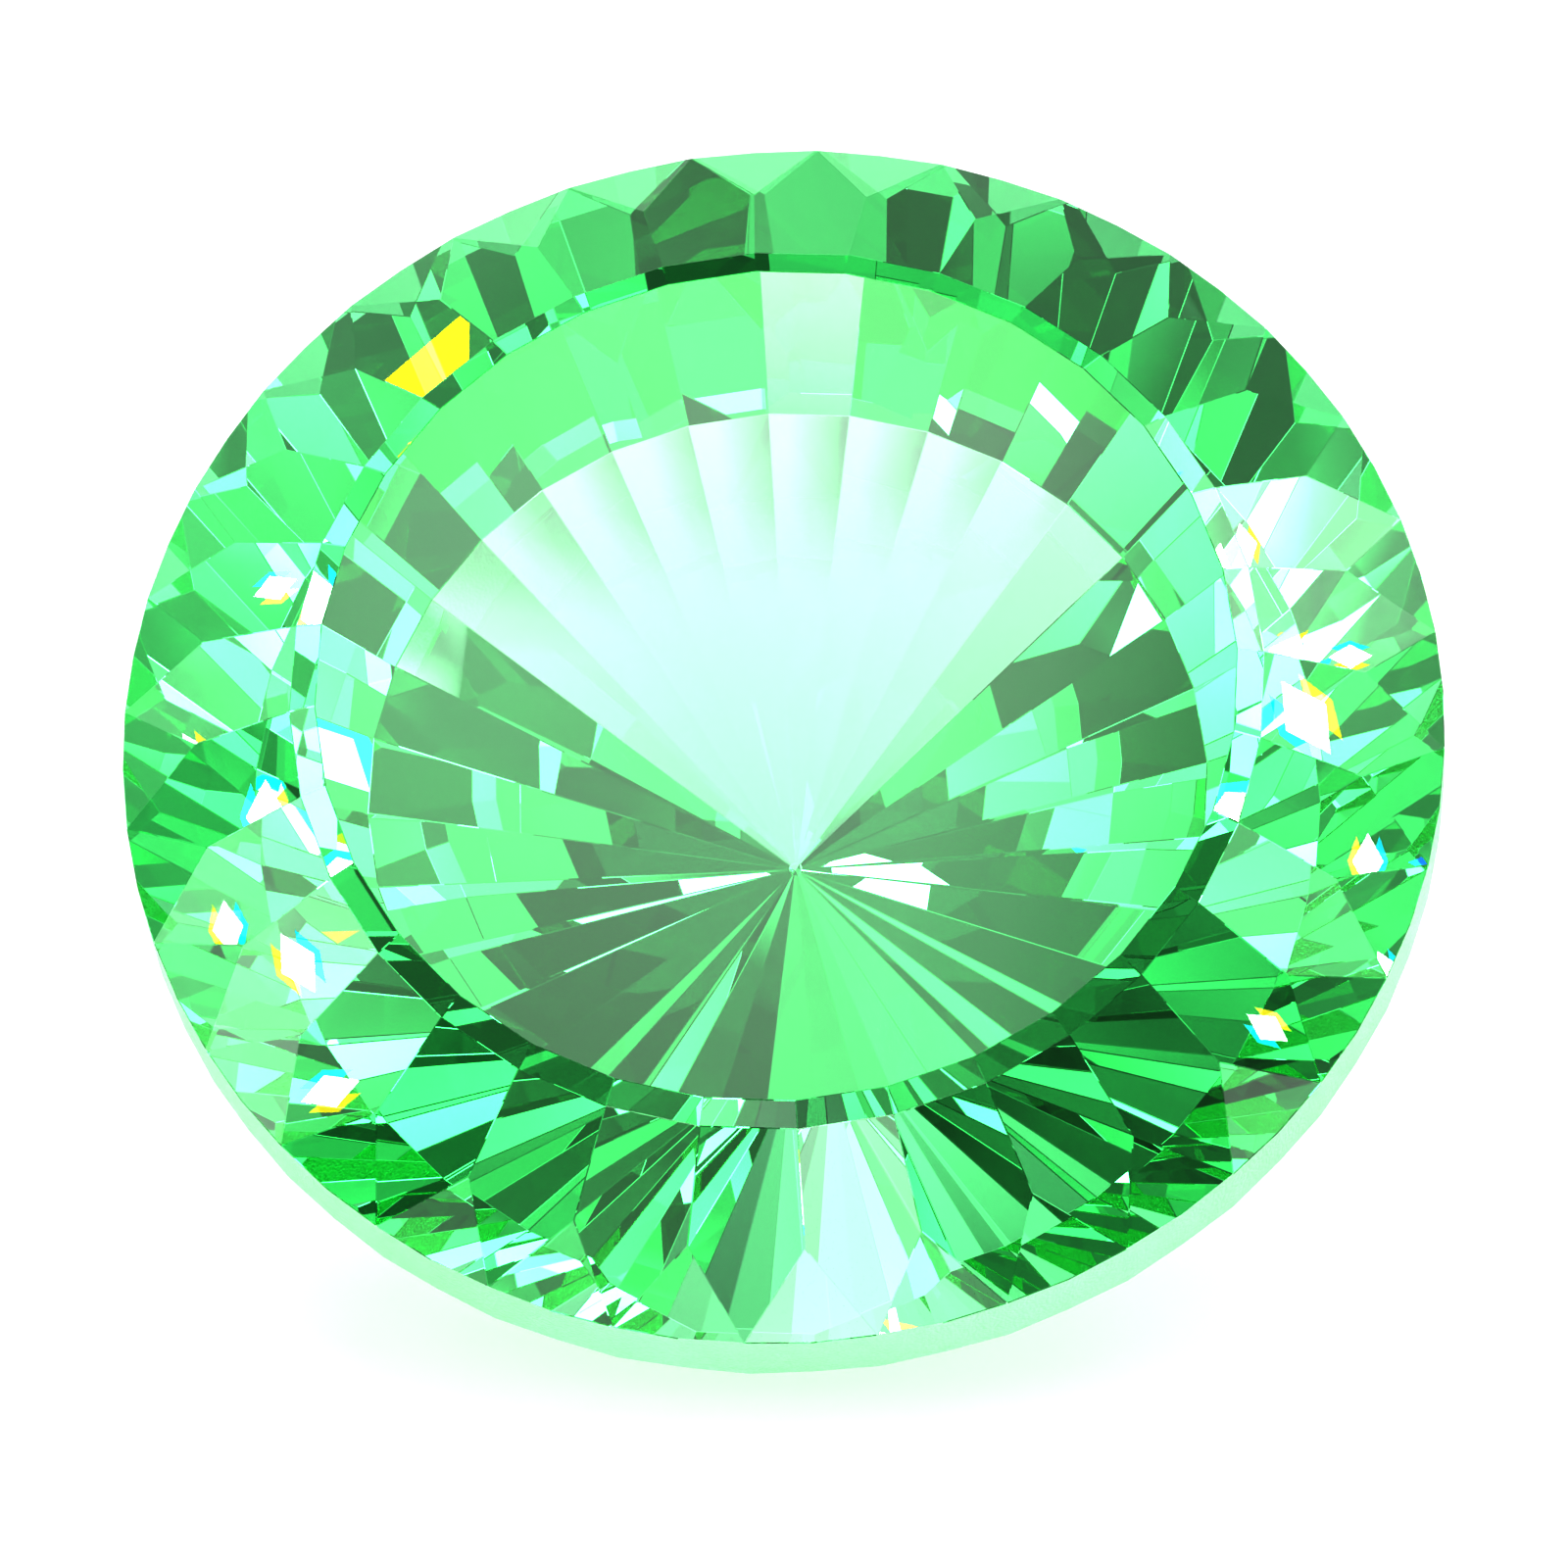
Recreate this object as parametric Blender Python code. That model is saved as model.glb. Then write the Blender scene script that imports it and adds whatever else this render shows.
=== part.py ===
"""A loose round-cut gemstone, cut facet by facet from a round blank and laid down on one pavilion facet.

The stone is cut upright, with its axis on +Z and the girdle's upper edge at z = 0. It is then tipped
towards -Y, as a pointed stone lies when nothing holds it.
"""
import math

import bmesh
import bpy
from mathutils import Matrix, Vector

NAME = "cut_stone"

# Driving dimensions, in metres
GIRDLE_RADIUS = 0.006
GIRDLE_THICKNESS = 0.12 * GIRDLE_RADIUS
TABLE_RADIUS = 0.688 * GIRDLE_RADIUS
STEP_RADIUS = 0.727 * GIRDLE_RADIUS
CULET_TIER_RADIUS = 0.64 * GIRDLE_RADIUS

# Facet angles, in degrees from the girdle's plane
STEP_ANGLE = 20.0
CROWN_MAIN_ANGLE = 31.3
CROWN_BREAK_ANGLE = 33.3
PAVILION_BREAK_ANGLE = 52.0
PAVILION_OUTER_ANGLE = 50.0
PAVILION_CULET_ANGLE = 41.2
FOOT_ANGLE = 43.2

# The broad facet that the stone lies on takes the place of this many neighbours on each side
FOOT_NEIGHBOURS = 1

# The cut has one facet of each tier in every turn of the index, and two flats of the girdle
INDEX = 32
GIRDLE_FLATS = 2 * INDEX
PITCH = 2 * math.pi / INDEX

# Ends of a cut that come this near each other are one corner, and a corner this near a plane is on it
SAME_CORNER = 5e-6
ON_PLANE = 1e-8

CROWN = 1
PAVILION = -1


def rise(run, degrees):
    """Height gained over a horizontal run on a facet at this angle."""
    return run * math.tan(math.radians(degrees))


def round_blank():
    """The rough stone, ground to a round column: its sides become the girdle."""
    blank = bmesh.new()
    bmesh.ops.create_cone(
        blank,
        cap_ends=True,
        segments=GIRDLE_FLATS,
        radius1=GIRDLE_RADIUS,
        radius2=GIRDLE_RADIUS,
        depth=4 * GIRDLE_RADIUS,
    )
    return blank


def cut(stone, point, normal):
    """Grinds away all that lies outside one plane, and closes the stone with the new facet."""
    result = bmesh.ops.bisect_plane(
        stone,
        geom=stone.verts[:] + stone.edges[:] + stone.faces[:],
        dist=ON_PLANE,
        plane_co=point,
        plane_no=normal,
        clear_outer=True,
    )
    rim = [part for part in result["geom_cut"] if isinstance(part, bmesh.types.BMEdge)]
    bmesh.ops.edgeloop_fill(stone, edges=[edge for edge in rim if edge.is_boundary])


def cut_facet(stone, side, degrees, radius, height, step=0.0):
    """Cuts one facet, a number of index steps round from the front, through a point on its middle line."""
    tilt = math.radians(degrees)
    turn = step * PITCH - math.pi / 2
    outward = Vector((math.cos(turn), math.sin(turn), 0))
    normal = math.sin(tilt) * outward + side * math.cos(tilt) * Vector((0, 0, 1))
    cut(stone, radius * outward + Vector((0, 0, height)), normal)


def cut_tier(stone, side, degrees, radius, height, half_step=0.0, gap=0):
    """Cuts one tier: the same facet at every step of the index, or between the steps.

    A gap leaves out the front facet, and one less than this many on each side of it.
    """
    for number in range(gap, INDEX + 1 - max(gap, 1)):
        cut_facet(stone, side, degrees, radius, height, number + half_step)


def cut_stone():
    """The whole stone, upright."""
    # The facets between two mains meet the girdle at both their points
    between = GIRDLE_RADIUS * math.cos(PITCH / 2)
    step_height = rise(GIRDLE_RADIUS - STEP_RADIUS, CROWN_MAIN_ANGLE)
    table_height = step_height + rise(STEP_RADIUS - TABLE_RADIUS, STEP_ANGLE)
    girdle_foot = -GIRDLE_THICKNESS
    culet_tier_top = girdle_foot - rise(GIRDLE_RADIUS - CULET_TIER_RADIUS, PAVILION_OUTER_ANGLE)
    culet = culet_tier_top - rise(CULET_TIER_RADIUS, PAVILION_CULET_ANGLE)
    stone = round_blank()
    cut_tier(stone, CROWN, CROWN_MAIN_ANGLE, GIRDLE_RADIUS, 0)
    cut_tier(stone, CROWN, CROWN_BREAK_ANGLE, between, 0, half_step=0.5)
    cut_tier(stone, CROWN, STEP_ANGLE, STEP_RADIUS, step_height)
    cut(stone, Vector((0, 0, table_height)), Vector((0, 0, 1)))
    cut_tier(stone, PAVILION, PAVILION_OUTER_ANGLE, GIRDLE_RADIUS, girdle_foot)
    cut_tier(stone, PAVILION, PAVILION_BREAK_ANGLE, between, girdle_foot, half_step=0.5)
    cut_tier(
        stone,
        PAVILION,
        PAVILION_CULET_ANGLE,
        CULET_TIER_RADIUS,
        culet_tier_top,
        gap=FOOT_NEIGHBOURS + 1,
    )
    # The front facet is a little steeper than the rest, so it is broad enough to lie on
    cut_facet(stone, PAVILION, FOOT_ANGLE, 0, culet)
    bmesh.ops.remove_doubles(stone, verts=stone.verts[:], dist=SAME_CORNER)
    bmesh.ops.recalc_face_normals(stone, faces=stone.faces[:])
    return stone


def lay_down(stone):
    """Tips the stone onto its broad front facet and sets it down, centred over the origin."""
    tip = Matrix.Rotation(math.radians(FOOT_ANGLE), 4, "X")
    bmesh.ops.transform(stone, matrix=tip, verts=stone.verts[:])
    corners = [vertex.co for vertex in stone.verts]
    low = Vector(min(corner[axis] for corner in corners) for axis in range(3))
    high = Vector(max(corner[axis] for corner in corners) for axis in range(3))
    middle = (low + high) / 2
    bmesh.ops.translate(stone, vec=(-middle.x, -middle.y, -low.z), verts=stone.verts[:])


def green_crystal():
    """Clear green crystal with polished faces."""
    material = bpy.data.materials.new("green_crystal")
    material.use_nodes = True
    shader = material.node_tree.nodes["Principled BSDF"]
    shader.inputs["Base Color"].default_value = (0.14, 0.87, 0.30, 1)
    shader.inputs["Roughness"].default_value = 0.02
    shader.inputs["Metallic"].default_value = 0.0
    shader.inputs["IOR"].default_value = 1.76
    shader.inputs["Transmission Weight"].default_value = 1.0
    return material


def main():
    for old in list(bpy.data.objects):
        bpy.data.objects.remove(old, do_unlink=True)
    collection = bpy.data.collections.new("faceted_sapphire")
    bpy.context.scene.collection.children.link(collection)
    stone = cut_stone()
    lay_down(stone)
    mesh = bpy.data.meshes.new(NAME)
    stone.to_mesh(mesh)
    stone.free()
    mesh.materials.append(green_crystal())
    collection.objects.link(bpy.data.objects.new(NAME, mesh))


main()
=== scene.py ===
# %% [markdown]
# A loose green gemstone
# The object is one clear green crystal, cut round with a flat table on top and a point below. It lies
# on a pavilion facet, so its table leans towards the camera. This lesson rebuilds it as a cutter
# would describe it: rings of corners, one under the other, joined by flat facets. Then it gives the
# crystal its green body colour, its ground girdle, a pale floor and a soft studio around it.

# %% Load the frame
import math

import bpy
from mathutils import Matrix, Vector


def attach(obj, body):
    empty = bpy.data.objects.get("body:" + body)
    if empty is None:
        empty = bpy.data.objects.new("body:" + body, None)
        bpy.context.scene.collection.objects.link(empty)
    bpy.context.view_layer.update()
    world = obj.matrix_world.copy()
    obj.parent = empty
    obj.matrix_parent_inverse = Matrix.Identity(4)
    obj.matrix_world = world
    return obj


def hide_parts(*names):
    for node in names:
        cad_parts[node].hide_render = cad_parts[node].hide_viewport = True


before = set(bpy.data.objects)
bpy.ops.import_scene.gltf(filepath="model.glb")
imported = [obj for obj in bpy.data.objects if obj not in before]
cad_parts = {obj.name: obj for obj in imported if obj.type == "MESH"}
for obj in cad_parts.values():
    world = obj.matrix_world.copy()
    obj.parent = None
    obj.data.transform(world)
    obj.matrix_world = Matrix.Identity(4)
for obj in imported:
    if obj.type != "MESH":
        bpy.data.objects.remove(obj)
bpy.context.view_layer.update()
scene = bpy.context.scene

# %% [markdown]
# Helpers
# Colours are written as the hex values that a picture editor shows, and Blender works in linear
# light, so one function turns one into the other. A second function adds any node to any tree with
# its settings and its links, so that each later cell reads as a list of steps.


# %% Two helpers
def colour(hex_value):
    """An sRGB hex colour as linear red, green, blue and alpha."""
    shares = [int(hex_value[at:at + 2], 16) / 255 for at in (1, 3, 5)]
    return tuple(s / 12.92 if s <= 0.04045 else ((s + 0.055) / 1.055) ** 2.4 for s in shares) + (1.0,)


def end(sockets, name):
    """A socket by its number, its identifier or its name."""
    if isinstance(name, int):
        return sockets[name]
    return next(s for s in sockets if name in (s.identifier, s.name))


def add(tree, kind, inputs=None, **settings):
    """Adds a node. An input given as a socket is linked, and any other value is set."""
    node = tree.nodes.new(kind)
    for name, value in settings.items():
        setattr(node, name, value)
    for name, value in (inputs or {}).items():
        socket = end(node.inputs, name)
        if isinstance(value, bpy.types.NodeSocket):
            tree.links.new(value, socket)
        else:
            socket.default_value = value
    return node


print("middle grey in linear light is", round(colour("#808080")[0], 3))

# %% [markdown]
# The cut
# A cutter works from a chart: so many facets in each turn of the index wheel, and an angle for each
# tier. The same numbers are here, with radii as shares of the girdle's radius. Each tier of facets
# ends in a ring of corners, so the whole shape follows from the radius and height of nine rings.

# %% The cutter's chart
GIRDLE_RADIUS = 0.006
INDEX = 32
STEP_ANGLE, CROWN_MAIN_ANGLE, CROWN_BREAK_ANGLE = 20.0, 31.3, 33.3
PAVILION_BREAK_ANGLE, PAVILION_OUTER_ANGLE, PAVILION_CULET_ANGLE = 52.0, 50.0, 41.2
FOOT_ANGLE = 43.2
TABLE, STEP, CULET_TIER, GIRDLE_FOOT = 0.688, 0.727, 0.64, -0.12


def slope(degrees):
    """Rise for each unit of run on a facet at this angle."""
    return math.tan(math.radians(degrees))


def rings():
    """Name, radius and height of each ring in girdle radii, and its turn. 0.5 is half way between mains."""
    half = math.cos(math.pi / INDEX)
    step_height = (1 - STEP) * slope(CROWN_MAIN_ANGLE)
    crown_tip = (slope(CROWN_BREAK_ANGLE) * half - slope(CROWN_MAIN_ANGLE)) / (
        slope(CROWN_BREAK_ANGLE) - half * slope(CROWN_MAIN_ANGLE))
    pavilion_tip = (slope(PAVILION_BREAK_ANGLE) * half - slope(PAVILION_OUTER_ANGLE)) / (
        slope(PAVILION_BREAK_ANGLE) - half * slope(PAVILION_OUTER_ANGLE))
    pavilion_tip_height = GIRDLE_FOOT - (half - pavilion_tip) * slope(PAVILION_BREAK_ANGLE)
    tier_height = GIRDLE_FOOT - (1 - CULET_TIER) * slope(PAVILION_OUTER_ANGLE)
    return [
        ("Table", TABLE / half, step_height + (STEP - TABLE) * slope(STEP_ANGLE), 0.5),
        ("Step", STEP / half, step_height, 0.5),
        ("Crown break", crown_tip, (half - crown_tip) * slope(CROWN_BREAK_ANGLE), 0.5),
        ("Girdle top", 1.0, 0.0, 0.0),
        ("Girdle top dip", 1.0, -(1 - half) * slope(CROWN_BREAK_ANGLE), 0.5),
        ("Girdle foot", 1.0, GIRDLE_FOOT, 0.0),
        ("Girdle foot dip", 1.0, GIRDLE_FOOT + (1 - half) * slope(PAVILION_BREAK_ANGLE), 0.5),
        ("Pavilion break", pavilion_tip, pavilion_tip_height, 0.5),
        ("Culet tier", CULET_TIER / half, tier_height, 0.5),
    ]


CULET = rings()[-1][2] - CULET_TIER * slope(PAVILION_CULET_ANGLE)
IN_MM = 1000 * GIRDLE_RADIUS
for name, radius, height, _ in rings():
    print(f"{name}: radius {IN_MM * radius:.3f} mm, height {IN_MM * height:.3f} mm")
print(f"Culet: height {IN_MM * CULET:.3f} mm")

# %% [markdown]
# Crystal
# The material is made before the shape, because the tree that builds the shape sets it. A stone like
# this is clear aluminium oxide. Its facets are polished until they are mirrors, so light goes in
# straight, bends hard because the refractive index is 1.765, bounces inside and comes out again. Its
# green is in the depth of it, not on its surface: the volume takes out red and some blue for each
# millimetre that light travels. The girdle is only ground, not polished, so there the same crystal
# is frosted and looks like pale mint glass. Both are one material, because light may go in by a
# facet and leave by the girdle, and the colour inside has to end where the crystal does.

# %% Polished crystal with a ground girdle
CRYSTAL_IOR = 1.765
ZONES_PER_METRE = 350.0
COLOUR_DENSITY = 125.0
GROUND_CLEAR = 0.5
crystal = bpy.data.materials.new("Green corundum, polished facets and ground girdle")
crystal.use_nodes = True
tree = crystal.node_tree
surface = tree.nodes["Principled BSDF"]
output = tree.nodes["Material Output"]

# 1 on the ground band, 0 on every polished facet
ground = add(tree, "ShaderNodeAttribute", attribute_name="ground_girdle").outputs["Fac"]
place = add(tree, "ShaderNodeTexCoord").outputs["Object"]

# Colour zoning: growth zones about 3 mm across, too faint to see as bands
zones = add(tree, "ShaderNodeTexNoise", {
    "Vector": place,
    "Scale": ZONES_PER_METRE,
    "Detail": 0.0,
}).outputs["Fac"]
zoned = add(tree, "ShaderNodeMix", {
    "Factor_Float": zones,
    "A_Color": colour("#FFFFFF"),
    "B_Color": colour("#F2FFF6"),
}, data_type="RGBA")
tinted = add(tree, "ShaderNodeMix", {
    "Factor_Float": ground,
    "A_Color": end(zoned.outputs, "Result_Color"),
    "B_Color": colour("#E4FFEC"),
}, data_type="RGBA")
tint = end(tinted.outputs, "Result_Color")

# The depth of colour: absorption for each metre is the density times one minus the colour
depth = add(tree, "ShaderNodeVolumeAbsorption", {
    "Color": colour("#38F4AA"),
    "Density": COLOUR_DENSITY,
})
tree.links.new(depth.outputs["Volume"], output.inputs["Volume"])

# Ground crystal scatters light back, so part of it acts as a white powder would
clear = add(tree, "ShaderNodeMapRange", {
    "Value": ground,
    "To Min": 1.0,
    "To Max": GROUND_CLEAR,
}).outputs["Result"]
tree.links.new(clear, surface.inputs["Transmission Weight"])
surface.inputs["IOR"].default_value = CRYSTAL_IOR
tree.links.new(tint, surface.inputs["Base Color"])
print("material", crystal.name)

# %% [markdown]
# Surface finish
# Polish leaves hair lines a few thousandths of a millimetre wide, far below what a picture shows. What
# does show is that some patches of a facet took the polish better, so they are drawn at about 0.4 mm,
# coarser than the lines. Grit of about 0.03 mm made the girdle's frosting, drawn as a fine bump. The
# shape's tree also writes down how far each facet is out of true, and the shading follows that.

# %% Roughness
POLISH_PER_METRE, GRIT_PER_METRE = 2500.0, 33000.0
POLISH_ROUGH = 0.006
GRIT_SMOOTHEST, GRIT_ROUGHEST = 0.42, 0.62
polish = add(tree, "ShaderNodeTexNoise", {
    "Vector": place,
    "Scale": POLISH_PER_METRE,
    "Detail": 0.0,
}).outputs["Fac"]
polish_rough = add(tree, "ShaderNodeMapRange", {
    "Value": polish,
    "To Min": 0.0,
    "To Max": POLISH_ROUGH,
}).outputs["Result"]
grit = add(tree, "ShaderNodeTexNoise", {
    "Vector": place,
    "Scale": GRIT_PER_METRE,
    "Detail": 0.0,
}).outputs["Fac"]
grit_rough = add(tree, "ShaderNodeMapRange", {
    "Value": grit,
    "To Min": GRIT_SMOOTHEST,
    "To Max": GRIT_ROUGHEST,
}).outputs["Result"]
rough = add(tree, "ShaderNodeMix", {
    "Factor_Float": ground,
    "A_Float": polish_rough,
    "B_Float": grit_rough,
}, data_type="FLOAT")
tree.links.new(end(rough.outputs, "Result_Float"), surface.inputs["Roughness"])
print("polished to", POLISH_ROUGH, "and ground to", GRIT_ROUGHEST)

# %% Facets out of true, and grit
GRIT_STRENGTH, GRIT_DEPTH = 0.5, 0.00002
grit_height = add(tree, "ShaderNodeMath", {0: grit, 1: ground}, operation="MULTIPLY")
tilt = add(tree, "ShaderNodeAttribute", attribute_name="facet_tilt").outputs["Vector"]
face = add(tree, "ShaderNodeNewGeometry").outputs
# Blender turns the normal over for light that comes from inside, so the tilt is turned over with it
side = add(tree, "ShaderNodeMapRange", {
    "Value": face["Backfacing"],
    "To Min": 1.0,
    "To Max": -1.0,
}).outputs["Result"]
sided = add(tree, "ShaderNodeVectorMath", {0: tilt, "Scale": side}, operation="SCALE")
tilted = add(tree, "ShaderNodeVectorMath", {
    0: face["Normal"],
    1: sided.outputs["Vector"],
}, operation="ADD")
true = add(tree, "ShaderNodeVectorMath", {0: tilted.outputs["Vector"]}, operation="NORMALIZE")
relief = add(tree, "ShaderNodeBump", {
    "Height": grit_height.outputs[0],
    "Strength": GRIT_STRENGTH,
    "Distance": GRIT_DEPTH,
    "Normal": true.outputs["Vector"],
})
tree.links.new(relief.outputs["Normal"], surface.inputs["Normal"])
print("facets out of true and grit added to", crystal.name)

# %% [markdown]
# The shape
# The corners of a tier lie on one circle, so a tree of Geometry Nodes makes a circle for each ring,
# lifts it to its height and turns it by half a step where its corners lie between the mains. The
# stone bulges everywhere, so the convex hull of all the corners has exactly the cutter's facets.
# Then the tree does what the cutter did last: it tips the stone over and grinds the one broad
# facet that the stone lies on, by taking away a block below the floor.

# %% Inputs of the tree
cut = bpy.data.node_groups.new("Stone cut from a chart", "GeometryNodeTree")
sizes = {"Index": INDEX, "Culet depth": -CULET * GIRDLE_RADIUS, "Foot angle": math.radians(FOOT_ANGLE)}
for name, radius, height, turn in rings():
    sizes[f"{name} radius"] = radius * GIRDLE_RADIUS
    sizes[f"{name} height"] = height * GIRDLE_RADIUS
for name, value in sizes.items():
    kind = "NodeSocketInt" if isinstance(value, int) else "NodeSocketFloat"
    cut.interface.new_socket(name, in_out="INPUT", socket_type=kind)
cut.interface.new_socket("Stone", in_out="OUTPUT", socket_type="NodeSocketGeometry")
chart = cut.nodes.new("NodeGroupInput").outputs
print(len(sizes), "named sizes")

# %% [markdown]
# Rings into a hull
# Join Geometry takes every ring through one socket. The culet is a ring of a single corner.

# %% Rings and hull
corners = cut.nodes.new("GeometryNodeJoinGeometry")
for name, radius, height, turn in rings():
    ring = add(cut, "GeometryNodeMeshCircle", {
        "Vertices": chart["Index"],
        "Radius": chart[f"{name} radius"],
    })
    lift = add(cut, "ShaderNodeCombineXYZ", {"Z": chart[f"{name} height"]})
    placed = add(cut, "GeometryNodeTransform", {
        "Geometry": ring.outputs["Mesh"],
        "Translation": lift.outputs["Vector"],
        "Rotation": (0, 0, turn * 2 * math.pi / INDEX),
    })
    cut.links.new(placed.outputs["Geometry"], corners.inputs["Geometry"])
drop = add(cut, "ShaderNodeMath", {0: chart["Culet depth"], 1: -1.0}, operation="MULTIPLY")
point = add(cut, "ShaderNodeCombineXYZ", {"Z": drop.outputs["Value"]})
culet = add(cut, "GeometryNodeMeshLine", {"Count": 1, "Start Location": point.outputs["Vector"]})
cut.links.new(culet.outputs["Mesh"], corners.inputs["Geometry"])
upright = add(cut, "GeometryNodeConvexHull", {"Geometry": corners.outputs["Geometry"]})
print("rings joined:", len(rings()))

# %% [markdown]
# Laying it down
# The foot facet passes through the culet, so the tipped stone is lifted until its culet is at zero
# and everything below zero is ground away. A second hull cleans up the ends of the cut, and the
# box of the result says how far to slide the stone to stand over the middle.

# %% Foot facet
BLOCK_WIDTH, BLOCK_DEPTH = 0.04, 0.02
SAME_CORNER = 0.000005
lean = add(cut, "ShaderNodeCombineXYZ", {"X": chart["Foot angle"]})
tip = add(cut, "FunctionNodeEulerToRotation", {"Euler": lean.outputs["Vector"]})
rise_share = add(cut, "ShaderNodeMath", {0: chart["Foot angle"]}, operation="COSINE")
rise = add(cut, "ShaderNodeMath", {
    0: rise_share.outputs["Value"],
    1: chart["Culet depth"],
}, operation="MULTIPLY")
up = add(cut, "ShaderNodeCombineXYZ", {"Z": rise.outputs["Value"]})
tipped = add(cut, "GeometryNodeTransform", {
    "Geometry": upright.outputs["Convex Hull"],
    "Rotation": tip.outputs["Rotation"],
})
lifted = add(cut, "GeometryNodeTransform", {
    "Geometry": tipped.outputs["Geometry"],
    "Translation": up.outputs["Vector"],
})
block = add(cut, "GeometryNodeMeshCube", {"Size": (BLOCK_WIDTH, BLOCK_WIDTH, BLOCK_DEPTH)})
below = add(cut, "GeometryNodeTransform", {
    "Geometry": block.outputs["Mesh"],
    "Translation": (0, 0, -BLOCK_DEPTH / 2),
})
footed = add(cut, "GeometryNodeMeshBoolean", {
    "Mesh 1": lifted.outputs["Geometry"],
    "Mesh 2": below.outputs["Geometry"],
}, operation="DIFFERENCE", solver="EXACT")
joined = add(cut, "GeometryNodeMergeByDistance", {
    "Geometry": footed.outputs["Mesh"],
    "Distance": SAME_CORNER,
})
clean = add(cut, "GeometryNodeConvexHull", {"Geometry": joined.outputs["Geometry"]})
print("ground away a block", BLOCK_WIDTH, "m wide below the floor")

# %% Place
# Tipping moves the stone along Y, and this puts its box back over the origin
extent = add(cut, "GeometryNodeBoundBox", {"Geometry": clean.outputs["Convex Hull"]})
both = add(cut, "ShaderNodeVectorMath", {
    0: extent.outputs["Min"],
    1: extent.outputs["Max"],
}, operation="ADD")
slide = add(cut, "ShaderNodeVectorMath", {
    0: both.outputs["Vector"],
    1: (-0.5, -0.5, 0),
}, operation="MULTIPLY")
laid = add(cut, "GeometryNodeTransform", {
    "Geometry": clean.outputs["Convex Hull"],
    "Translation": slide.outputs["Vector"],
})
print("laid down at", FOOT_ANGLE, "degrees")

# %% [markdown]
# Marking the girdle
# Only the girdle's flats stand upright to the stone's axis. The tree writes that down on each face,
# and the crystal's material reads it to know where it is ground and where it is polished. Nobody cuts
# a facet quite true either. Here each is out by about 0.4 degrees. That is too little to see in the
# outline, but light that has bounced three times inside shows it, and it gives the fan its rays. So
# each face also gets a small tilt for its shading. It comes from a noise of the facet's own
# direction, so the triangles of one facet share it.

# %% Girdle mark
ALONG_THE_GIRDLE = 0.2
axis = add(cut, "FunctionNodeRotateVector", {"Vector": (0, 0, 1), "Rotation": tip.outputs["Rotation"]})
facing = cut.nodes.new("GeometryNodeInputNormal")
along = add(cut, "ShaderNodeVectorMath", {
    0: facing.outputs["Normal"],
    1: axis.outputs["Vector"],
}, operation="DOT_PRODUCT")
steep = add(cut, "ShaderNodeMath", {0: along.outputs["Value"]}, operation="ABSOLUTE")
upright_face = add(cut, "ShaderNodeMath", {
    0: steep.outputs["Value"],
    1: ALONG_THE_GIRDLE,
}, operation="LESS_THAN")
marked = add(cut, "GeometryNodeStoreNamedAttribute", {
    "Geometry": laid.outputs["Geometry"],
    "Name": "ground_girdle",
    "Value": upright_face.outputs["Value"],
}, data_type="FLOAT", domain="FACE")
print("girdle marked where the normal is within", ALONG_THE_GIRDLE, "of square to the axis")

# %% Tilts, flat facets and material
# In radians. The noise keeps near its middle, so the tilts average a fifth of this and stay under half
OUT_OF_TRUE = 0.03
CHANGES_PER_RADIAN = 40.0
chance = add(cut, "ShaderNodeTexNoise", {
    "Vector": facing.outputs["Normal"],
    "Scale": CHANGES_PER_RADIAN,
    "Detail": 0.0,
})
around = add(cut, "ShaderNodeVectorMath", {
    0: chance.outputs["Color"],
    1: (0.5, 0.5, 0.5),
}, operation="SUBTRACT")
stray = add(cut, "ShaderNodeVectorMath", {
    0: around.outputs["Vector"],
    "Scale": OUT_OF_TRUE,
}, operation="SCALE")
strayed = add(cut, "GeometryNodeStoreNamedAttribute", {
    "Geometry": marked.outputs["Geometry"],
    "Name": "facet_tilt",
    "Value": stray.outputs["Vector"],
}, data_type="FLOAT_VECTOR", domain="FACE")
flat = add(cut, "GeometryNodeSetShadeSmooth", {
    "Geometry": strayed.outputs["Geometry"],
    "Shade Smooth": False,
})
whole = add(cut, "GeometryNodeRealizeInstances", {"Geometry": flat.outputs["Geometry"]})
finished = add(cut, "GeometryNodeSetMaterial", {
    "Geometry": whole.outputs["Geometry"],
    "Material": crystal,
})
add(cut, "NodeGroupOutput", {"Stone": finished.outputs["Geometry"]})
print(len(cut.nodes), "nodes in the tree")

# %% [markdown]
# From tree to mesh
# The tree runs once, on an empty mesh, and its result is kept as a plain mesh. Edges between facets
# are never perfectly sharp: polish and wear round them by about a hundredth of a millimetre, which a
# bevel does here, and they catch light as thin bright lines. The corners are then held against the
# CAD solid's own. They match to the bevel's width, and to 0.17 mm where two facets meet at so shallow
# an angle that the bevel slides the corner along the edge.

# %% The stone
WEAR = 0.000012
SHARPER_THAN = 0.5
holder = bpy.data.objects.new("holder", bpy.data.meshes.new("holder"))
scene.collection.objects.link(holder)
modifier = holder.modifiers.new("cut", "NODES")
modifier.node_group = cut
worn = holder.modifiers.new("worn edges", "BEVEL")
worn.offset_type, worn.width, worn.segments = "WIDTH", WEAR, 1
worn.limit_method, worn.angle_limit = "ANGLE", math.radians(SHARPER_THAN)
for item in cut.interface.items_tree:
    if item.in_out == "INPUT":
        modifier[item.identifier] = sizes[item.name]
evaluated = holder.evaluated_get(bpy.context.evaluated_depsgraph_get())
mesh = bpy.data.meshes.new_from_object(evaluated)
holder.modifiers.clear()
bpy.data.objects.remove(holder)
stone = bpy.data.objects.new("faceted_stone", mesh)
scene.collection.objects.link(stone)
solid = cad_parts["cut_stone"].data
gap = max(min((c.co - v.co).length for c in solid.vertices) for v in mesh.vertices)
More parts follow.
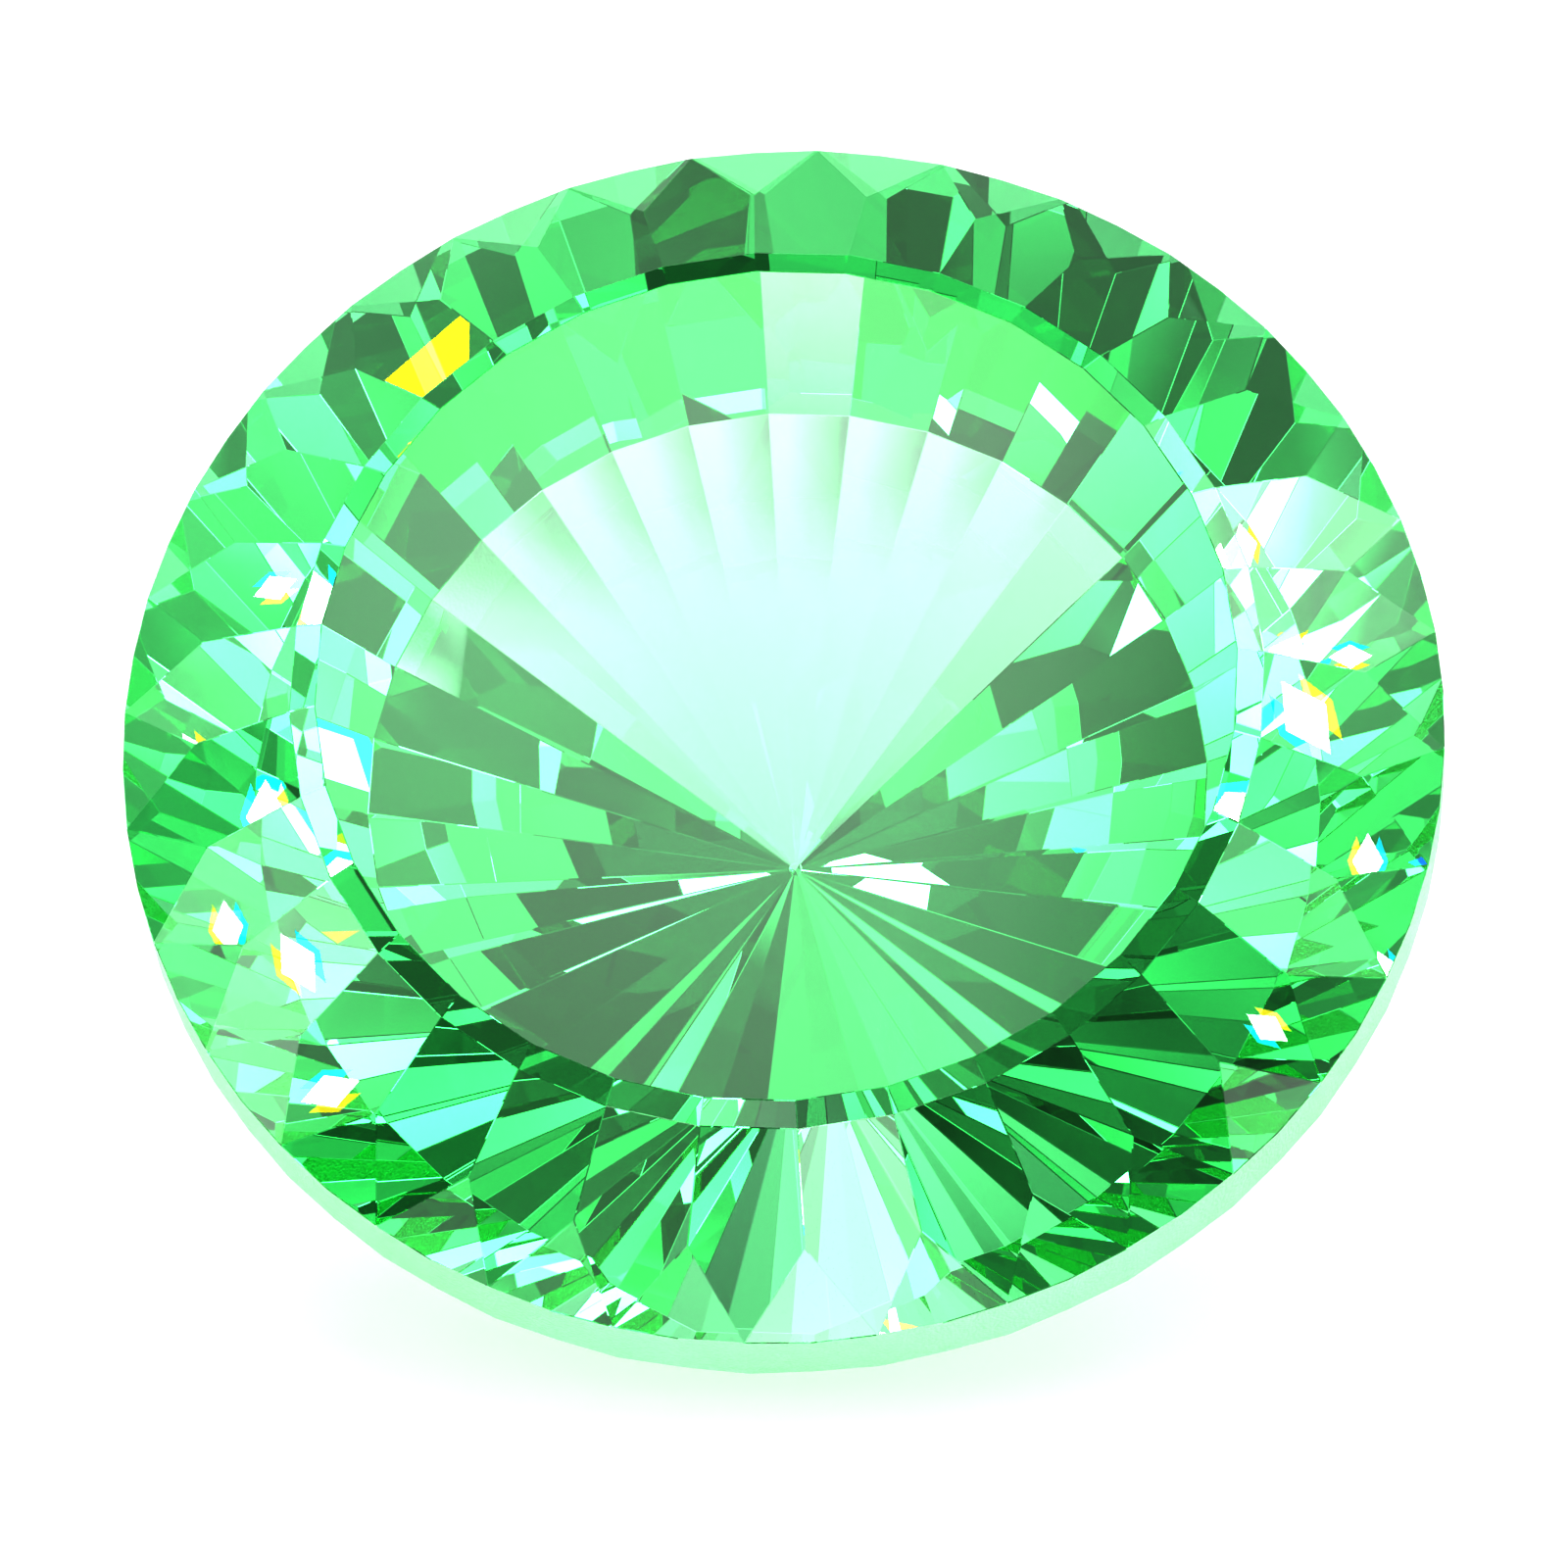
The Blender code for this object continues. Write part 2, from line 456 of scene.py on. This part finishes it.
print(len(mesh.vertices), "corners,", len(mesh.polygons), "faces")
print("furthest from the solid's corners by", round(1000 * gap, 3), "mm")

# %% [markdown]
# The studio
# A gem shows nothing but its surroundings, folded up by its facets. Its looks come from where the
# studio is bright and where it is dark. Here that is a tent, a dome round the stone, with lamps
# behind its cloth and dark cards in front of it, and a lit table, with lamps below it and strips of
# black card laid on it round the stone. Turn is counted in degrees from the front towards the right,
# and height in degrees from the horizon, as seen from the middle of the stone. Panels below the
# horizon are on the table. All stand at whole degrees. Most were rounded from a fit of the studio's
# light to the photo, and the rest were added.


# %% Lamps and cards
def towards(turn, height):
    """The direction at this turn from the front and this height above the horizon."""
    t, h = math.radians(turn), math.radians(height)
    return Vector((math.sin(t) * math.cos(h), -math.cos(t) * math.cos(h), math.sin(h)))


TABLE_LIGHT = 0.85
TENT = 1.0
PANELS = [
    # name, turn, height, half width, half height, soft edge, brightness
    ("lamp, back left, low", -144, 15, 36, 24, 2, 1.3),
    ("card, left of the front", -36, 22, 18, 20, 3, 0.4),
    ("card, right of the front", 40, 32, 24, 26, 4, 0.25),
    ("card, left side", -80, 16, 20, 14, 10, 0.3),
    ("card, over the back", 177, 88, 40, 38, 10, 0.12),
    ("lamp, overhead, left of the front", -18, 79, 10, 10, 11, 4.4),
    ("lamp, right side, high", 102, 52, 23, 12, 14, 6.0),
    ("lamps, low, all along the left", -98, 5, 116, 2, 7, 5.5),
    ("lamp, front, tall", -4, 16, 8, 24, 2, 3.0),
    ("lamp, front, high", -3, 25, 6, 7, 2, 9.0),
    ("lamp, front, low", 4, 3, 6, 15, 6, 9.0),
    ("lamp, left of the front", -15, 15, 4, 7, 7, 9.0),
    ("lamp, right of the front", 24, 24, 6, 9, 2, 2.2),
    ("card, before the front lamp", -7, 21, 7, 5, 4, 0.4),
    ("lamp, right, low", 57, 9, 8, 8, 11, 6.5),
    ("lamp, right", 54, 37, 5, 5, 3, 9.0),
    ("lamp, right, further back", 69, 33, 7, 6, 4, 3.0),
    ("lamp, left, low", -60, 15, 10, 9, 2, 4.9),
    ("lamp, left, tall", -76, 35, 5, 20, 4, 3.7),
    ("lamp, left, further back", -96, 31, 6, 5, 2, 2.5),
    ("lamp, back", -176, 33, 29, 6, 2, 2.0),
    ("lamp, back left, high", -143, 48, 32, 6, 2, 1.6),
    ("cloth, front", 8, 29, 15, 6, 10, 1.1),
    ("lamp, left of the front, high", -32, 51, 23, 3, 2, 2.0),
    ("card, low, before the front lamps", -12, 9, 20, 5, 12, 0.7),
    ("card, left, low", -45, 11, 9, 9, 14, 0.05),
    ("lamp below, back right", 148, -40, 22, 16, 2, 2.6),
    ("lamp below, back left", -137, -40, 22, 30, 14, 2.4),
    ("lamp below, front", 14, -3, 8, 8, 2, 2.5),
    ("strip, front left", -21, -20, 12, 12, 2, 0.02),
    ("strip, front right", 29, -13, 13, 9, 3, 0.3),
    ("strip, front", -1, -24, 4, 17, 6, 0.1),
    ("strip, back", 170, -20, 12, 15, 5, 0.1),
]


def eased(share):
    """From 0 to 1 with soft ends."""
    share = min(max(share, 0), 1)
    return share * share * (3 - 2 * share)


def glow(turn, height):
    """Brightness of the studio in one direction. A later panel is in front of an earlier one."""
    light = TENT if height >= 0 else TABLE_LIGHT
    for _, at, up, wide, tall, soft, bright in PANELS:
        aside, above = abs((turn - at + 180) % 360 - 180), abs(height - up)
        cover = eased((wide + soft / 2 - aside) / soft) * eased((tall + soft / 2 - above) / soft)
        light += cover * (bright - light)
    return (light, light, light, 1.0)


print(len(PANELS), "panels, brightness straight up", round(glow(0, 90)[0], 2))

# %% [markdown]
# The lit table
# The stone lies on a matt sheet of opal acrylic with light behind it, as gems are often photographed,
# so the floor stays white up to the stone and little shadow is left. A hard facet touches such a
# sheet at a few grains only, and the film of air in between is what lets the facet mirror light from
# inside. So the sheet lies 0.03 mm under the stone. If it were in the plane of the facet, that facet
# would render black. The brightness is worked out once for each corner of a fine grid, as a colour
# attribute, and the material only reads it. The camera sees the sheet evenly lit.

# %% Lit acrylic sheet
# The middle of the stone above the table and the film of air, in metres, and the grid in degrees
MIDDLE, FILM, GRID = 0.005, 0.00003, 2
turns = range(-180, 180, GRID)
row = len(turns)
# Under the stone first, and out to nearly a metre
drops = [*range(-88, 0, GRID), -1, -0.3]
sheet = [(0, 0, -FILM)]
for drop in drops:
    far = MIDDLE / math.tan(math.radians(-drop))
    sheet += [(far * math.sin(math.radians(t)), -far * math.cos(math.radians(t)), -FILM) for t in turns]
cells = [(0, 1 + c, 1 + (c + 1) % row) for c in range(row)]
for r in range(len(drops) - 1):
    inner, outer = 1 + r * row, 1 + (r + 1) * row
    cells += [(inner + c, outer + c, outer + (c + 1) % row, inner + (c + 1) % row) for c in range(row)]
table_mesh = bpy.data.meshes.new("floor")
table_mesh.from_pydata(sheet, [], cells)
lit = table_mesh.attributes.new("table_light", "FLOAT_COLOR", "POINT")
lit.data[0].color = glow(0, -90)
for number, (drop, t) in enumerate((drop, t) for drop in drops for t in turns):
    lit.data[1 + number].color = glow(t, drop)
floor = bpy.data.objects.new("floor", table_mesh)
scene.collection.objects.link(floor)
print(len(sheet), "points on the table, facing", round(table_mesh.polygons[0].normal.z), "up")

# %% [markdown]
# Acrylic
# Opal acrylic is milky all through, with a matt top. In the photo it is bright enough to have no
# texture left, so it gets only a very faint unevenness.

# %% Opal acrylic
MILK_PER_METRE = 900.0
SEEN_LIGHT = (0.78, 0.78, 0.78, 1.0)
MATT = 0.9
opal = bpy.data.materials.new("Opal acrylic, lit from below")
opal.use_nodes = True
tree = opal.node_tree
acrylic = tree.nodes["Principled BSDF"]
spot = add(tree, "ShaderNodeTexCoord").outputs["Object"]
milk = add(tree, "ShaderNodeTexNoise", {
    "Vector": spot,
    "Scale": MILK_PER_METRE,
    "Detail": 3.0,
}).outputs["Fac"]
white = add(tree, "ShaderNodeMix", {
    "Factor_Float": milk,
    "A_Color": colour("#7E7E7E"),
    "B_Color": colour("#828282"),
}, data_type="RGBA")
below = add(tree, "ShaderNodeAttribute", attribute_name="table_light").outputs["Color"]
seen = add(tree, "ShaderNodeLightPath").outputs["Is Camera Ray"]
even = add(tree, "ShaderNodeMix", {
    "Factor_Float": seen,
    "A_Color": below,
    "B_Color": SEEN_LIGHT,
}, data_type="RGBA")
tree.links.new(end(white.outputs, "Result_Color"), acrylic.inputs["Base Color"])
tree.links.new(end(even.outputs, "Result_Color"), acrylic.inputs["Emission Color"])
acrylic.inputs["Emission Strength"].default_value = 1.0
acrylic.inputs["Roughness"].default_value = MATT
acrylic.inputs["Specular IOR Level"].default_value = 0.1
opal.cycles.emission_sampling = "NONE"
table_mesh.materials.append(opal)
print("material", opal.name)

# %% [markdown]
# The tent's cloth
# The dome's brightness is worked out for each corner in the same way. The camera sees the cloth as
# the plain white of the photo's background.

# %% Lit dome
DOME = 1.0
heights = range(0, 91, GRID)
points = [DOME * towards(t, h) for h in heights for t in turns]
quads = [
    (r * row + c, r * row + (c + 1) % row, (r + 1) * row + (c + 1) % row, (r + 1) * row + c)
    for r in range(len(heights) - 1) for c in range(row)
]
dome_mesh = bpy.data.meshes.new("tent")
dome_mesh.from_pydata(points, [], quads)
dome = bpy.data.objects.new("tent", dome_mesh)
dome.visible_shadow = False
scene.collection.objects.link(dome)
lit = dome_mesh.attributes.new("tent_light", "FLOAT_COLOR", "POINT")
for number, (h, t) in enumerate((h, t) for h in heights for t in turns):
    lit.data[number].color = glow(t, h)
print(len(points), "points on the dome")

# %% Cloth
cloth = bpy.data.materials.new("Tent cloth lit from behind")
cloth.use_nodes = True
tree = cloth.node_tree
tree.nodes.clear()
light = add(tree, "ShaderNodeAttribute", attribute_name="tent_light").outputs["Color"]
seen = add(tree, "ShaderNodeLightPath").outputs["Is Camera Ray"]
shown = add(tree, "ShaderNodeMix", {
    "Factor_Float": seen,
    "A_Color": light,
    "B_Color": colour("#FFFFFF"),
}, data_type="RGBA")
lamp = add(tree, "ShaderNodeEmission", {"Color": end(shown.outputs, "Result_Color"), "Strength": 1.0})
add(tree, "ShaderNodeOutputMaterial", {"Surface": lamp.outputs["Emission"]})
cloth.cycles.emission_sampling = "NONE"
dome_mesh.materials.append(cloth)
print("material", cloth.name)

# %% [markdown]
# A lamp for the floor, and what is beyond the tent
# The soft shadow comes from a broad lamp behind the stone, high up. It lights the floor alone and
# keeps out of the stone's mirrors. Its light passes the dome, which casts no shadow. Outside the tent
# it is dark, but a camera that looks past its far side sees the same white.

# %% Floor lamp and world
LAMP_TURN, LAMP_HEIGHT, LAMP_WIDTH = -150, 62, 35
LAMP_ENERGY = 2.2
floor_lamp = bpy.data.lights.new("floor lamp", "SUN")
floor_lamp.energy, floor_lamp.angle = LAMP_ENERGY, math.radians(LAMP_WIDTH)
floor_light = bpy.data.objects.new("floor lamp", floor_lamp)
floor_light.rotation_euler = (-towards(LAMP_TURN, LAMP_HEIGHT)).to_track_quat("-Z", "Y").to_euler()
floor_light.visible_glossy = floor_light.visible_transmission = False
scene.collection.objects.link(floor_light)
scene.world = bpy.data.worlds.new("outside the tent")
scene.world.use_nodes = True
tree = scene.world.node_tree
beyond = add(tree, "ShaderNodeLightPath").outputs["Is Camera Ray"]
tree.links.new(beyond, tree.nodes["Background"].inputs["Color"])
print("floor lamp at turn", LAMP_TURN, "and height", LAMP_HEIGHT)

# %% [markdown]
# Fire
# A cut stone splits a small strong light into yellow, white and blue, because it bends each colour a
# little differently. Cycles bends them all alike. So each small lamp here is a white slip of light
# with a yellow and a blue one just behind its edges, and each facet that finds one shows a white
# spark with a coloured rim. Most slips are a fraction of a degree long, as small as a lamp across a
# room looks. A few larger ones light single facets, such as the yellow one high on the left. Their
# directions were read from a light trace of the stone, one for each spark, because a facet finds a
# lamp only in its own direction.

# %% Where the small lamps stand
LAMPS = [
    # turn, height, half length in degrees, brightness
    (-90.6, 51.6, 0.30, 20), (-85.0, 27.4, 0.24, 20), (-84.5, 27.8, 0.12, 20), (-60.9, 41.3, 0.30, 20),
    (-60.5, 41.0, 0.15, 20), (-63.5, 19.4, 0.22, 20), (130.7, 45.4, 0.26, 20), (117.9, 43.8, 0.30, 20),
    (118.4, 44.2, 0.15, 20), (104.9, 41.5, 0.28, 20), (105.2, 41.2, 0.14, 20), (90.5, 37.9, 0.28, 20),
    (90.1, 37.5, 0.16, 20), (63.0, 49.6, 0.34, 20), (55.2, 22.8, 0.16, 20), (76.5, 26.8, 0.16, 20),
    (-51.9, 15.2, 0.20, 20), (-96.7, 30.7, 0.18, 20), (-74.4, 23.4, 0.18, 20), (-108.0, 33.6, 0.15, 20),
    (78.5, 32.6, 0.18, 20), (98.6, 61.5, 0.32, 20), (15.6, 4.0, 0.30, 20), (-112.4, 57.1, 0.22, 20),
    (22.3, 14.9, 0.60, 10), (45.9, 11.9, 0.50, 10), (26.8, 30.4, 0.40, 10), (-18.5, 24.2, 0.40, 10),
    (7.5, 28.0, 0.50, 10), (11.7, 9.0, 0.40, 10), (2.0, 8.0, 0.40, 10), (-16.4, 23.0, 0.40, 10),
    (-167.9, 14.7, 0.60, 8),
]
TINTED = [
    # turn, height, half length, brightness, colour
    (-31.4, 38.3, 1.30, 14, "#FFFFFF"), (-32.2, 37.4, 0.90, 14, "#FFFFFF"),
    (-35.5, 35.3, 0.80, 14, "#FFF4F8"), (-47.6, 23.2, 0.60, 14, "#FFFFFF"),
    (39.8, 44.6, 0.80, 12, "#FFE8F4"), (55.4, 29.6, 0.50, 12, "#FFF4F8"),
    (-138.9, 39.1, 0.70, 14, "#FFE400"), (78.9, 32.3, 0.20, 12, "#3060FF"),
    (-7.0, 25.3, 0.30, 8, "#FFE030"),
]
print(len(LAMPS) + len(TINTED), "small lamps")

# %% Slips of light
# Distances in metres. Widths, and how far the coloured rims are aside, are shares of the length.
FAR, BEHIND = 0.8, 0.01
WHITE_WIDTH, TINTED_WIDTH, RIM_WIDTH = 0.55, 0.45, 0.35
RIM_LENGTH, RIM_ASIDE, RIM_LIGHT = 0.9, 0.45, 0.6
# Each slip is rolled by this many radians more than the one before it, so no two lie alike
ROLL_STEP, TINTED_ROLL = 2.4, 1.3


def slip(turn, height, length, width, aside, roll, far=FAR):
    """The four corners of a slip of light, rolled round its own direction and moved aside."""
    middle = towards(turn, height)
    east = Vector((math.cos(math.radians(turn)), math.sin(math.radians(turn)), 0))
    north = middle.cross(east)
    along = math.cos(roll) * east + math.sin(roll) * north
    across = math.cos(roll) * north - math.sin(roll) * east
    half = far * math.radians(length)
    centre = far * middle + aside * half * across
    thick = width * half * across
    return [centre + half * along, centre + thick, centre - half * along, centre - thick]


def shining(hex_value, bright):
    """A hex colour at this brightness."""
    return [bright * part for part in colour(hex_value)[:3]] + [1.0]


slips, tints = [], []
for number, (turn, height, length, bright) in enumerate(LAMPS):
    roll = ROLL_STEP * number
    slips.append(slip(turn, height, length, WHITE_WIDTH, 0.0, roll))
    tints.append(shining("#FFFFFF", bright))
    for aside, hue in ((-RIM_ASIDE, "#FFE030"), (RIM_ASIDE, "#30C8FF")):
        slips.append(slip(turn, height, RIM_LENGTH * length, RIM_WIDTH, aside, roll, FAR + BEHIND))
        tints.append(shining(hue, RIM_LIGHT * bright))
for number, (turn, height, length, bright, hue) in enumerate(TINTED):
    slips.append(slip(turn, height, length, TINTED_WIDTH, 0.0, TINTED_ROLL + ROLL_STEP * number))
    tints.append(shining(hue, bright))
print(len(slips), "slips of light")

# %% Glow of the slips
lamp_mesh = bpy.data.meshes.new("small_lamps")
slip_corners = [corner for four in slips for corner in four]
slip_faces = [range(4 * n, 4 * n + 4) for n in range(len(slips))]
lamp_mesh.from_pydata(slip_corners, [], slip_faces)
shine = lamp_mesh.attributes.new("lamp_light", "FLOAT_COLOR", "FACE")
for number, tint_of_slip in enumerate(tints):
    shine.data[number].color = tint_of_slip
filament = bpy.data.materials.new("Small bright lamps")
filament.use_nodes = True
tree = filament.node_tree
tree.nodes.clear()
shade = add(tree, "ShaderNodeAttribute", attribute_name="lamp_light").outputs["Color"]
hot = add(tree, "ShaderNodeEmission", {"Color": shade, "Strength": 1.0})
add(tree, "ShaderNodeOutputMaterial", {"Surface": hot.outputs["Emission"]})
filament.cycles.emission_sampling = "NONE"
lamp_mesh.materials.append(filament)
small_lamps = bpy.data.objects.new("small_lamps", lamp_mesh)
small_lamps.visible_camera = small_lamps.visible_shadow = False
scene.collection.objects.link(small_lamps)
print("material", filament.name)

# %% [markdown]
# Camera
# The table is seen 25.4 degrees off its own normal, which puts the camera 21.4 degrees above the
# floor, a little to the right of straight on. The photo is 1600 pixels wide, and the girdle's radius
# is 675.4 of them, so a pixel has a real size on the stone, and the lens follows from it.

# %% Camera
GIRDLE_CENTRE = Vector((0, -0.00034, 0.00485))
OFF_TABLE_NORMAL = 25.4
TURN, HEIGHT = 4.3, 90 - FOOT_ANGLE - OFF_TABLE_NORMAL
DISTANCE = 15 * GIRDLE_RADIUS
PHOTO_WIDTH, GIRDLE_PIXELS = 1600, 675.4
PIXELS_DOWN, PIXELS_RIGHT = 55, 2.4
SENSOR = 36
back = towards(TURN, HEIGHT)
right = Vector((math.cos(math.radians(TURN)), math.sin(math.radians(TURN)), 0))
over = back.cross(right)
pixel = GIRDLE_RADIUS / GIRDLE_PIXELS
aim = GIRDLE_CENTRE - PIXELS_DOWN * pixel * over + PIXELS_RIGHT * pixel * right
lens = bpy.data.cameras.new("camera")
lens.sensor_width = SENSOR
lens.lens = SENSOR * DISTANCE / (PHOTO_WIDTH * pixel)
lens.clip_start, lens.clip_end = 0.005, 10
camera = bpy.data.objects.new("camera", lens)
scene.collection.objects.link(camera)
turned = Matrix((right, over, back)).transposed()
camera.matrix_world = Matrix.Translation(aim + back * DISTANCE) @ turned.to_4x4()
scene.camera = camera
print("lens", round(lens.lens, 1), "mm, height", HEIGHT)

# %% [markdown]
# Light paths
# Light bounces many times inside a cut stone, and each bounce inside counts as a glossy one, so many
# more of those are let through than usual. The noise is taken out at the end. Gamma gives the
# picture the hard contrast of the photo.

# %% Light paths and picture
scene.cycles.max_bounces = 12
scene.cycles.glossy_bounces = 11
scene.cycles.transmission_bounces = 11
scene.cycles.diffuse_bounces = 2
scene.cycles.sample_clamp_indirect = 12.0
scene.cycles.use_denoising = True
scene.cycles.denoising_input_passes = "RGB_ALBEDO_NORMAL"
scene.cycles.denoising_prefilter = "ACCURATE"
scene.cycles.sampling_pattern = "TABULATED_SOBOL"
scene.cycles.blur_glossy = 0.0
scene.view_settings.view_transform = "Standard"
scene.view_settings.look = "None"
scene.view_settings.gamma = 0.55
print("up to", scene.cycles.max_bounces, "bounces")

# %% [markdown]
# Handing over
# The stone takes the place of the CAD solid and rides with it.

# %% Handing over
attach(stone, "root")
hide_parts("cut_stone")
